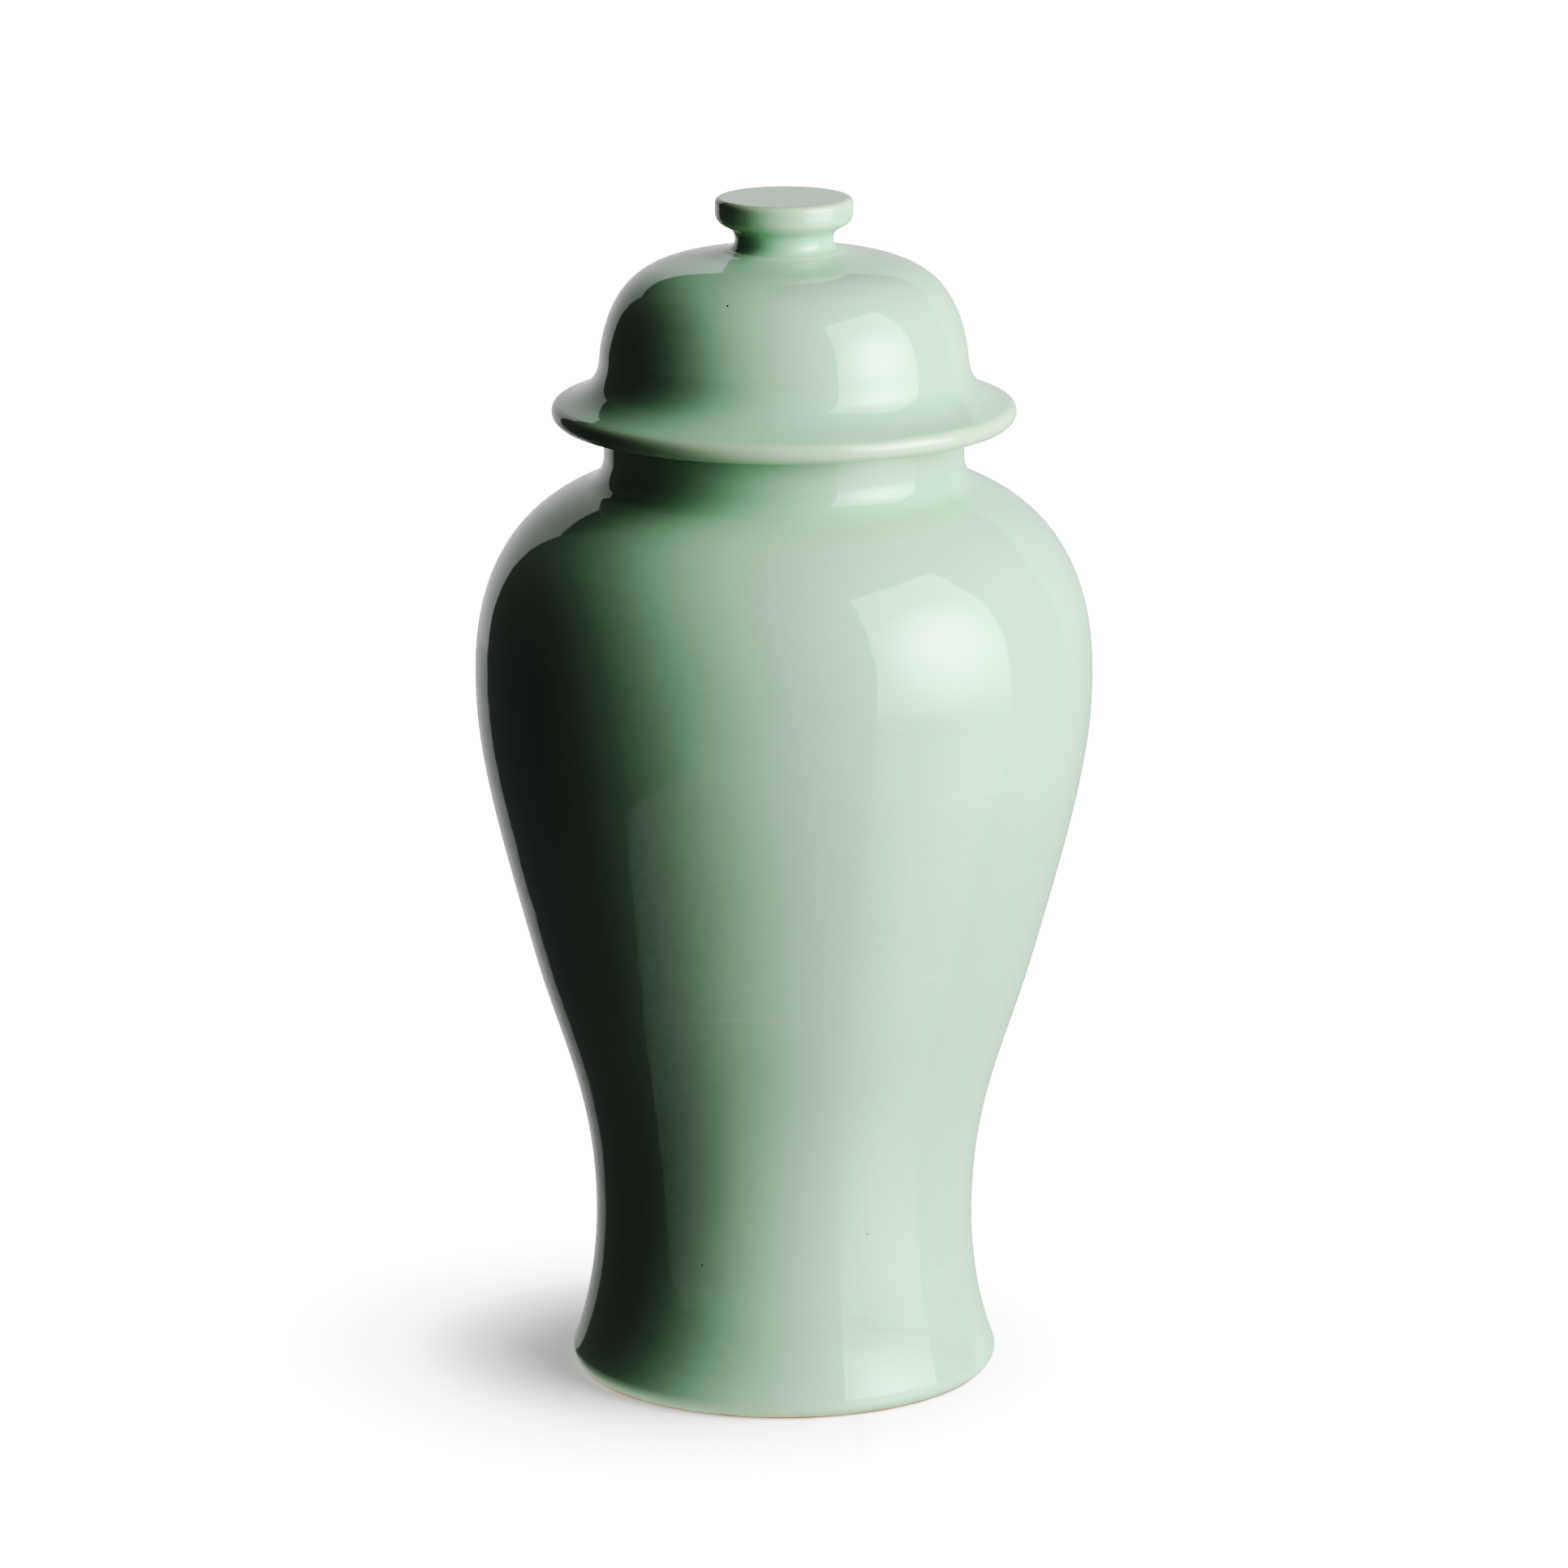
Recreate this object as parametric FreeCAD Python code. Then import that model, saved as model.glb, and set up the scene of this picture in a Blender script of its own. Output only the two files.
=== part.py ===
import FreeCAD, Part
import math
import os

# A celadon ginger jar of the temple-jar form: a tall jar with a spreading foot, a drawn-in
# waist, high shoulders and a short neck, closed by a loose domed lid with a button knob.
# Units are millimetres. +Z is up, the origin is the centre of the foot on its standing plane,
# and every piece is turned about the Z axis.

Vector = FreeCAD.Vector

# ---- Jar, outside -------------------------------------------------------------------------
JAR_HEIGHT = 371.0            # standing plane to mouth rim
FOOT_RADIUS = 82.1            # widest line of the spreading foot
FOOT_EDGE_ROUNDING = 5.9      # round of the foot's outer lower edge
FOOT_FLARE_ANGLE = 21.0       # how far the foot leans in where it leaves that round
WAIST_RADIUS = 72.9           # narrowest line above the foot
WAIST_HEIGHT = 60.7           # standing plane to that line
BELLY_RADIUS = 117.9          # widest line of the jar
SHOULDER_RISE = 75.5          # widest line up to the root of the neck
SHOULDER_LEAN = 68.0          # shoulder's angle from upright where it meets the neck
NECK_RADIUS = 68.6            # outside of the neck
NECK_HEIGHT = 20.8            # root of the neck to mouth rim
NECK_ROOT_ROUNDING = 11.2     # hollow between shoulder and neck
MOUTH_EDGE_ROUNDING = 1.6     # both edges of the mouth rim

# The flank is where the hollow curve above the waist turns into the full curve of the belly.
FLANK_RISE_SHARE = 0.475      # of the rise from waist to belly
FLANK_SPREAD_SHARE = 0.50     # of the widening from waist to belly
FLANK_LEAN = 15.6             # angle from upright

# ---- Jar, inside --------------------------------------------------------------------------
JAR_WALL = 6.3
FOOT_WALL = 9.5               # thickness of the foot at the level of the floor
FLOOR_THICKNESS = 8.0
FLOOR_RECESS = 12.0           # hollow under the floor
FOOT_BORE_ROUNDING = 1.8      # inner lower edge of the foot

# ---- Lid ----------------------------------------------------------------------------------
BRIM_OVERHANG = 19.7          # how far the brim reaches past the outside of the neck
RIM_ROUNDING = 4.3            # the brim's edge is close to a half round
BRIM_SLOPE = 18.0             # rise of the brim's top beside that edge
DOME_OVERHANG = 1.0           # how far the dome's straightest wall stands out past the neck
DOME_WALL_HEIGHT = 29.6       # mouth rim to that line
DOME_WALL_LEAN = 10.0         # how far the wall leans in there
DOME_HEIGHT = 65.4            # mouth rim to the crown where the knob stands
CROWN_SLOPE = 13.0            # fall of the dome beside the knob
LID_WALL = 6.3
THROAT_HEIGHT = 5.0           # straight part of the lid's hollow above its ring
THROAT_LEAN = 40.0            # how the hollow opens above that

# ---- Locating ring under the lid ----------------------------------------------------------
RING_CLEARANCE = 1.5          # all round, between the ring and the mouth
RING_WALL = 6.0
RING_DEPTH = 17.0             # how far the ring hangs into the mouth
RING_EDGE_ROUNDING = 1.8

# ---- Knob ---------------------------------------------------------------------------------
KNOB_BASE_RADIUS = 24.5
KNOB_NECK_RADIUS = 18.8
KNOB_NECK_RISE = 4.2          # crown up to the narrowest line
KNOB_RADIUS = 26.3            # widest line of the button
KNOB_WIDEST_DROP = 5.8        # button's top down to its widest line
KNOB_HEIGHT = 20.6            # crown up to the button's top
KNOB_EDGE_ROUNDING = 2.4      # upper edge of the button

# The knob's neck turns into the underside of the button part of the way out.
UNDERSIDE_RISE_SHARE = 0.45   # of the rise from neck to widest line
UNDERSIDE_SPREAD_SHARE = 0.36  # of the widening from neck to widest line
UNDERSIDE_LEAN = 62.0         # angle from upright

# ---- How firmly each curve holds its lower and upper direction ----------------------------
FOOT_PULLS = (0.28, 0.37)
WAIST_PULLS = (0.435, 0.305)
FLANK_PULLS = (0.565, 0.245)
SHOULDER_PULLS = (0.465, 0.34)
COVE_PULLS = (0.68, 0.29)
DOME_PULLS = (0.60, 0.30)
THROAT_PULLS = (0.40, 0.40)
KNOB_BASE_PULLS = (0.40, 0.40)
KNOB_NECK_PULLS = (0.25, 0.55)
BUTTON_PULLS = (0.41, 0.47)

# ---- Levels and radii that follow from the values above -----------------------------------
NECK_ROOT_Z = JAR_HEIGHT - NECK_HEIGHT
BELLY_Z = NECK_ROOT_Z - SHOULDER_RISE
FLOOR_TOP_Z = FLOOR_RECESS + FLOOR_THICKNESS
MOUTH_BORE_RADIUS = NECK_RADIUS - JAR_WALL
RING_RADIUS = MOUTH_BORE_RADIUS - RING_CLEARANCE
THROAT_RADIUS = RING_RADIUS - RING_WALL
BRIM_RADIUS = NECK_RADIUS + BRIM_OVERHANG
DOME_RADIUS = NECK_RADIUS + DOME_OVERHANG
CROWN_Z = JAR_HEIGHT + DOME_HEIGHT
KNOB_TOP_Z = CROWN_Z + KNOB_HEIGHT


class Station:
    """A place on an outline: its radius, its height and its lean from upright in degrees.

    Outlines run upwards. A positive lean opens outwards as it rises, a negative one closes in.
    """

    def __init__(self, radius, height, lean=0.0):
        self.radius = radius
        self.height = height
        self.lean = lean

    def point(self):
        return Vector(self.radius, 0, self.height)

    def ahead(self, distance):
        """The point this far on, in the outline's own direction."""
        turn = math.radians(self.lean)
        return self.point() + Vector(math.sin(turn), 0, math.cos(turn)) * distance

    def inset(self, wall):
        """The matching station on the inner side of a wall of this thickness."""
        turn = math.radians(self.lean)
        radius = self.radius - wall * math.cos(turn)
        height = self.height + wall * math.sin(turn)
        return Station(radius, height, self.lean)


def flat(*corners):
    """Straight edges through corners given as (radius, height)."""
    points = [Vector(radius, 0, height) for radius, height in corners]
    return [Part.makeLine(start, end) for start, end in zip(points, points[1:])]


def curve(lower, upper, pulls):
    """A smooth edge between two stations. The pulls are shares of their distance."""
    reach = lower.point().distanceToPoint(upper.point())
    lower_pull, upper_pull = pulls
    bezier = Part.BezierCurve()
    bezier.setPoles([
        lower.point(),
        lower.ahead(lower_pull * reach),
        upper.ahead(-upper_pull * reach),
        upper.point(),
    ])
    return bezier.toShape()


def arc(centre, rounding, start_angle, end_angle):
    """A round edge about a (radius, height) centre. Angles run from outwards to upwards."""
    middle_angle = (start_angle + end_angle) / 2
    points = []
    for angle in (start_angle, middle_angle, end_angle):
        turn = math.radians(angle)
        reach = Vector(math.cos(turn), 0, math.sin(turn)) * rounding
        points.append(Vector(centre[0], 0, centre[1]) + reach)
    return Part.Arc(*points).toShape()


def turned(edges):
    """The solid that a closed outline makes when it is turned about the Z axis."""
    outline = Part.Wire(Part.__sortEdges__(edges))
    return Part.Face(outline).revolve(Vector(0, 0, 0), Vector(0, 0, 1), 360)


def foot_flare():
    """Where the foot's outer edge round hands over to its hollow flare."""
    turn = math.radians(FOOT_FLARE_ANGLE)
    radius = FOOT_RADIUS - FOOT_EDGE_ROUNDING * (1 - math.cos(turn))
    height = FOOT_EDGE_ROUNDING * (1 + math.sin(turn))
    return Station(radius, height, -FOOT_FLARE_ANGLE)


def jar_wall(inset):
    """The jar's side from the foot's flare to the neck, moved inwards by a wall's thickness."""
    belly_spread = BELLY_RADIUS - WAIST_RADIUS
    flank_radius = WAIST_RADIUS + FLANK_SPREAD_SHARE * belly_spread
    flank_z = WAIST_HEIGHT + FLANK_RISE_SHARE * (BELLY_Z - WAIST_HEIGHT)

    # The hollow at the neck's root touches the upright neck and the shoulder's last slope.
    root_tangent = NECK_ROOT_ROUNDING * math.tan(math.radians(SHOULDER_LEAN / 2))
    shoulder_end = Station(NECK_RADIUS, NECK_ROOT_Z, -SHOULDER_LEAN).ahead(-root_tangent)
    root_centre = (NECK_RADIUS + NECK_ROOT_ROUNDING, NECK_ROOT_Z + root_tangent)

    flare = foot_flare().inset(inset)
    waist = Station(WAIST_RADIUS, WAIST_HEIGHT).inset(inset)
    flank = Station(flank_radius, flank_z, FLANK_LEAN).inset(inset)
    belly = Station(BELLY_RADIUS, BELLY_Z).inset(inset)
    shoulder = Station(shoulder_end.x, shoulder_end.z, -SHOULDER_LEAN).inset(inset)
    neck_radius = NECK_RADIUS - inset
    return [
        curve(flare, waist, FOOT_PULLS),
        curve(waist, flank, WAIST_PULLS),
        curve(flank, belly, FLANK_PULLS),
        curve(belly, shoulder, SHOULDER_PULLS),
        arc(root_centre, NECK_ROOT_ROUNDING + inset, 180 + SHOULDER_LEAN, 180),
        *flat((neck_radius, root_centre[1]), (neck_radius, JAR_HEIGHT - MOUTH_EDGE_ROUNDING)),
    ]


def foot_bore_radius():
    """The bore in the foot that holds the floor, one foot wall in from the outside."""
    level = Part.makeLine(Vector(0, 0, FLOOR_TOP_Z), Vector(FOOT_RADIUS, 0, FLOOR_TOP_Z))
    gap, nearest, _ = level.distToShape(jar_wall(0)[0])
    return nearest[0][0].x - FOOT_WALL


def jar_outside():
    """The jar as if it were full."""
    edge_centre = (FOOT_RADIUS - FOOT_EDGE_ROUNDING, FOOT_EDGE_ROUNDING)
    mouth_edge = NECK_RADIUS - MOUTH_EDGE_ROUNDING
    return turned([
        arc(edge_centre, FOOT_EDGE_ROUNDING, -90, FOOT_FLARE_ANGLE),
        *jar_wall(0),
        arc((mouth_edge, JAR_HEIGHT - MOUTH_EDGE_ROUNDING), MOUTH_EDGE_ROUNDING, 0, 90),
        *flat((mouth_edge, JAR_HEIGHT), (0, JAR_HEIGHT), (0, 0), (edge_centre[0], 0)),
    ])


def jar_inside():
    """The room inside the jar, from the floor to the mouth."""
    mouth_edge = MOUTH_BORE_RADIUS + MOUTH_EDGE_ROUNDING
    start = foot_flare().inset(JAR_WALL)
    room = turned([
        *jar_wall(JAR_WALL),
        arc((mouth_edge, JAR_HEIGHT - MOUTH_EDGE_ROUNDING), MOUTH_EDGE_ROUNDING, 180, 90),
        *flat((mouth_edge, JAR_HEIGHT), (0, JAR_HEIGHT), (0, start.height)),
        *flat((0, start.height), (start.radius, start.height)),
    ])
    return room.cut(Part.makeCylinder(FOOT_RADIUS, FLOOR_TOP_Z))


def foot_bore():
    """The straight bore in the foot, up to the top of the floor."""
    radius = foot_bore_radius()
    edge = radius + FOOT_BORE_ROUNDING
    return turned([
        arc((edge, FOOT_BORE_ROUNDING), FOOT_BORE_ROUNDING, 270, 180),
        *flat((radius, FOOT_BORE_ROUNDING), (radius, FLOOR_TOP_Z), (0, FLOOR_TOP_Z)),
        *flat((0, FLOOR_TOP_Z), (0, 0), (edge, 0)),
    ])


def make_jar_body():
    """The jar's wall in one piece, open at the mouth and at the foot."""
    return jar_outside().cut(jar_inside()).cut(foot_bore())


def make_jar_floor():
    """The round floor, set into the bore of the foot."""
    return Part.makeCylinder(foot_bore_radius(), FLOOR_THICKNESS, Vector(0, 0, FLOOR_RECESS))


def make_lid_dome():
    """The lid's shell: a brim that lies on the mouth rim, and a hollow dome above it."""
    rim_centre = (BRIM_RADIUS - RIM_ROUNDING, JAR_HEIGHT + RIM_ROUNDING)
    rim_turn = math.radians(90 - BRIM_SLOPE)
    brim_top = Station(
        rim_centre[0] + RIM_ROUNDING * math.cos(rim_turn),
        rim_centre[1] + RIM_ROUNDING * math.sin(rim_turn),
        BRIM_SLOPE - 90,
    )
    wall = Station(DOME_RADIUS, JAR_HEIGHT + DOME_WALL_HEIGHT, -DOME_WALL_LEAN)
    crown = Station(KNOB_BASE_RADIUS, CROWN_Z, CROWN_SLOPE - 90)
    throat = Station(THROAT_RADIUS, JAR_HEIGHT + THROAT_HEIGHT, THROAT_LEAN)
    inner_wall = wall.inset(LID_WALL)
    ceiling = crown.inset(LID_WALL)
    return turned([
        *flat((THROAT_RADIUS, JAR_HEIGHT), (rim_centre[0], JAR_HEIGHT)),
        arc(rim_centre, RIM_ROUNDING, -90, 90 - BRIM_SLOPE),
        curve(brim_top, wall, COVE_PULLS),
        curve(wall, crown, DOME_PULLS),
        *flat((crown.radius, CROWN_Z), (0, CROWN_Z), (0, ceiling.height)),
        *flat((0, ceiling.height), (ceiling.radius, ceiling.height)),
        curve(inner_wall, ceiling, DOME_PULLS),
        curve(throat, inner_wall, THROAT_PULLS),
        *flat((THROAT_RADIUS, throat.height), (THROAT_RADIUS, JAR_HEIGHT)),
    ])


def make_lid_locating_ring():
    """The ring under the lid that keeps it centred in the mouth."""
    low = JAR_HEIGHT - RING_DEPTH
    edge_z = low + RING_EDGE_ROUNDING
    outer_edge = RING_RADIUS - RING_EDGE_ROUNDING
    inner_edge = THROAT_RADIUS + RING_EDGE_ROUNDING
    return turned([
        *flat((THROAT_RADIUS, edge_z), (THROAT_RADIUS, JAR_HEIGHT), (RING_RADIUS, JAR_HEIGHT)),
        *flat((RING_RADIUS, JAR_HEIGHT), (RING_RADIUS, edge_z)),
        arc((outer_edge, edge_z), RING_EDGE_ROUNDING, 0, -90),
        *flat((outer_edge, low), (inner_edge, low)),
        arc((inner_edge, edge_z), RING_EDGE_ROUNDING, -90, -180),
    ])


def make_lid_knob():
    """The button knob: a flared base, a short waist and a thick round button."""
    neck_z = CROWN_Z + KNOB_NECK_RISE
    widest_z = KNOB_TOP_Z - KNOB_WIDEST_DROP
    base = Station(KNOB_BASE_RADIUS, CROWN_Z, CROWN_SLOPE - 90)
    neck = Station(KNOB_NECK_RADIUS, neck_z)
    underside = Station(
        KNOB_NECK_RADIUS + UNDERSIDE_SPREAD_SHARE * (KNOB_RADIUS - KNOB_NECK_RADIUS),
        neck_z + UNDERSIDE_RISE_SHARE * (widest_z - neck_z),
        UNDERSIDE_LEAN,
    )
    widest = Station(KNOB_RADIUS, widest_z)
    edge_centre = (KNOB_RADIUS - KNOB_EDGE_ROUNDING, KNOB_TOP_Z - KNOB_EDGE_ROUNDING)
    return turned([
        *flat((0, KNOB_TOP_Z), (0, CROWN_Z), (KNOB_BASE_RADIUS, CROWN_Z)),
        curve(base, neck, KNOB_BASE_PULLS),
        curve(neck, underside, KNOB_NECK_PULLS),
        curve(underside, widest, BUTTON_PULLS),
        *flat((KNOB_RADIUS, widest_z), (KNOB_RADIUS, edge_centre[1])),
        arc(edge_centre, KNOB_EDGE_ROUNDING, 0, 90),
        *flat((edge_centre[0], KNOB_TOP_Z), (0, KNOB_TOP_Z)),
    ])


PIECES = {
    "jar_body": make_jar_body,
    "jar_floor": make_jar_floor,
    "lid_dome": make_lid_dome,
    "lid_locating_ring": make_lid_locating_ring,
    "lid_knob": make_lid_knob,
}


def write_pieces():
    os.makedirs("parts", exist_ok=True)
    for name, make in PIECES.items():
        make().exportStep(f"parts/{name}.step")


write_pieces()
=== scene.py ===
import math

import bpy
from bpy.props import FloatProperty, FloatVectorProperty, IntProperty, PointerProperty
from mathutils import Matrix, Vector


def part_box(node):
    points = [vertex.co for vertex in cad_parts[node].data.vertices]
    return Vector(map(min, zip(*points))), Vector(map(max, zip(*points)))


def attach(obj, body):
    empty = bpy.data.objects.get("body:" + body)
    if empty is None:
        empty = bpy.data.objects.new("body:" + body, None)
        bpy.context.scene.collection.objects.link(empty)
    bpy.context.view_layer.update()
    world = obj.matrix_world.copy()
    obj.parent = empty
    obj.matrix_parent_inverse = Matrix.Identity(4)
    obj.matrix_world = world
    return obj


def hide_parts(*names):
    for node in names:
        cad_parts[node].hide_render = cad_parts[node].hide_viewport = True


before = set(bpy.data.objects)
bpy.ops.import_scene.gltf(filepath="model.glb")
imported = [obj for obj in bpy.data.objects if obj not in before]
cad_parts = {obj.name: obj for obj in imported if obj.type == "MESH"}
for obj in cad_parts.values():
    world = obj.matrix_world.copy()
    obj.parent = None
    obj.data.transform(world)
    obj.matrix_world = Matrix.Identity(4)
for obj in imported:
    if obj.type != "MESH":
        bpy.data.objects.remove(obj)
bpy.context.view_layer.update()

bl_info = {
    "name": "Celadon ginger jar",
    "version": (1, 0, 0),
    "blender": (4, 5, 0),
    "location": "3D View > Sidebar > Ginger Jar",
    "description": "Turns a lidded celadon jar from its outlines and sets it in a small studio",
    "category": "Add Mesh",
}

# The frame gives the outer sizes. Heights are measured from the standing plane, in metres.
_, JAR_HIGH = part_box("jar_body")
FLOOR_LOW, FLOOR_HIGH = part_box("jar_floor")
LID_LOW, LID_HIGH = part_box("lid_dome")
RING_LOW, RING_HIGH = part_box("lid_locating_ring")
KNOB_LOW, KNOB_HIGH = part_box("lid_knob")

MM = 0.001
FULL_TURN = 2 * math.pi
MERGE_DISTANCE = 1e-6
MEASURE_REACH = 4.0 * MM
NO_GLAZE_LINE = 1.0
SMOOTH_ANGLE = math.radians(32)
UPRIGHT = math.pi / 2
CAMERA_REACH = 50.0
GLAZE_RELIEF = 0.30 * MM
CLAY_RELIEF = 0.25 * MM
FILM_WHITE = 1.6
TABLE_WHITE = 1.1 * FILM_WHITE
FLAT = (0.0, 0.0, 0.0)


def length(label, note, millimetres):
    """A length setting, given in millimetres."""
    return FloatProperty(
        name=label, description=note, default=millimetres * MM, unit="LENGTH", subtype="DISTANCE"
    )


def spot(label, note, x, y, z):
    """A place setting, given in millimetres."""
    return FloatVectorProperty(
        name=label, description=note, default=(x * MM, y * MM, z * MM), size=3,
        unit="LENGTH", subtype="TRANSLATION",
    )


def slope(label, note, degrees):
    """An angle setting, given in degrees."""
    return FloatProperty(
        name=label, description=note, default=math.radians(degrees), subtype="ANGLE"
    )


def share(label, note, value):
    """A setting between nothing and all."""
    return FloatProperty(name=label, description=note, default=value, min=0.0, max=1.0)


def glow(label, note, value):
    """A brightness setting."""
    return FloatProperty(name=label, description=note, default=value, min=0.0)


def colour(label, note, value):
    """A colour setting."""
    return FloatVectorProperty(
        name=label, description=note, default=value, size=3, min=0.0, max=1.0, subtype="COLOR"
    )


class JarSizes(bpy.types.PropertyGroup):
    """The jar's outline, apart from what the frame gives."""

    foot_radius: length("Foot radius", "Widest line of the spreading foot", 82.1)
    foot_round: length("Foot round", "Round of the foot's outer lower edge", 5.9)
    foot_flare: slope("Foot flare", "Inward lean of the foot above that round", 21.0)
    waist_radius: length("Waist radius", "Narrowest line above the foot", 72.9)
    waist_height: length("Waist height", "Standing plane to the narrowest line", 60.7)
    flank_rise: share("Flank rise", "Where the flank turns full, up from waist to belly", 0.475)
    flank_spread: share("Flank spread", "How much of the widening is done by then", 0.5)
    flank_lean: slope("Flank lean", "Outward lean of the flank there", 15.6)
    shoulder_rise: length("Shoulder rise", "Widest line up to the root of the neck", 75.5)
    shoulder_lean: slope("Shoulder lean", "Inward lean of the shoulder at the neck", 68.0)
    neck_radius: length("Neck radius", "Outside of the neck", 68.6)
    neck_height: length("Neck height", "Root of the neck to the mouth rim", 20.8)
    neck_root: length("Neck root", "Hollow between shoulder and neck", 11.2)
    mouth_round: length("Mouth round", "Both edges of the mouth rim", 1.6)
    wall: length("Wall", "Thickness of the jar's wall", 6.3)
    bore_round: length("Bore round", "Inner lower edge of the foot", 1.8)
    foot_glaze_line: length("Foot glaze line", "Height at which the glaze stops on the foot", 0.9)
    mouth_wipe: length("Mouth wipe", "Depth of bare clay on the mouth rim", 0.9)


class LidSizes(bpy.types.PropertyGroup):
    """The lid's outlines, apart from what the frame gives."""

    rim_round: length("Rim round", "The brim's half-round edge", 4.3)
    brim_slope: slope("Brim slope", "Rise of the brim's top beside its edge", 18.0)
    dome_radius: length("Dome radius", "Outside of the dome where it is straightest", 69.6)
    dome_wall_height: length("Dome wall height", "Mouth rim to that line", 29.6)
    dome_lean: slope("Dome lean", "Inward lean of the dome there", 10.0)
    crown_slope: slope("Crown slope", "Fall of the dome beside the knob", 13.0)
    wall: length("Wall", "Thickness of the lid's shell", 6.3)
    throat_height: length("Throat height", "Straight part of the hollow above the ring", 5.0)
    throat_lean: slope("Throat lean", "How the hollow opens above that", 40.0)
    ring_wall: length("Ring wall", "Thickness of the locating ring", 6.0)
    ring_round: length("Ring round", "Lower edges of the locating ring", 1.8)
    seat_width: length("Seat width", "Bare clay under the brim, out from the ring", 11.0)
    knob_base: length("Knob base", "Radius of the knob where it meets the dome", 24.5)
    knob_neck: length("Knob neck", "Radius of the knob at its narrowest line", 18.8)
    knob_neck_rise: length("Knob neck rise", "Crown up to the narrowest line", 4.2)
    knob_widest_drop: length("Knob widest drop", "Button's top down to its widest line", 5.8)
    knob_round: length("Knob round", "Upper edge of the button", 2.4)
    underside_rise: share("Underside rise", "Where the neck turns into the button, upwards", 0.45)
    underside_spread: share("Underside spread", "The same turn, outwards", 0.36)
    underside_lean: slope("Underside lean", "Outward lean at that turn", 62.0)


class GlazeLook(bpy.types.PropertyGroup):
    """Colours and finish of the glaze and of the bare clay."""

    body: colour("Glaze", "Celadon at its usual thickness", (0.405, 0.60, 0.432))
    thin: colour("Thin glaze", "Where it draws back from an edge", (0.475, 0.615, 0.445))
    pooled: colour("Pooled glaze", "Where it gathers in a hollow", (0.35, 0.565, 0.395))
    speck: colour("Speck", "Iron specks", (0.05, 0.045, 0.03))
    pinhole: colour("Pinhole", "Tiny pale pits in the glaze", (0.72, 0.74, 0.66))
    clay: colour("Clay", "Bare fired clay", (0.55, 0.36, 0.21))
    clay_toasted: colour("Toasted clay", "Clay darkened beside the glaze", (0.36, 0.17, 0.08))
    gloss: share("Glaze roughness", "Roughness of the glassy surface", 0.05)
    depth: share("Depth roughness", "Roughness of the milky layer under it", 0.5)


class TurningPlan(bpy.types.PropertyGroup):
    """How finely the pieces are turned."""

    steps: IntProperty(name="Turning steps", description="Faces around", default=192, min=24)
    spans: IntProperty(name="Outline steps", description="Points on each curve", default=16, min=4)
    sway: length("Hand sway", "How far a thrown wall wanders from true", 0.35)
    sway_size: length("Sway size", "Distance from one wander to the next", 90.0)


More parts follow.
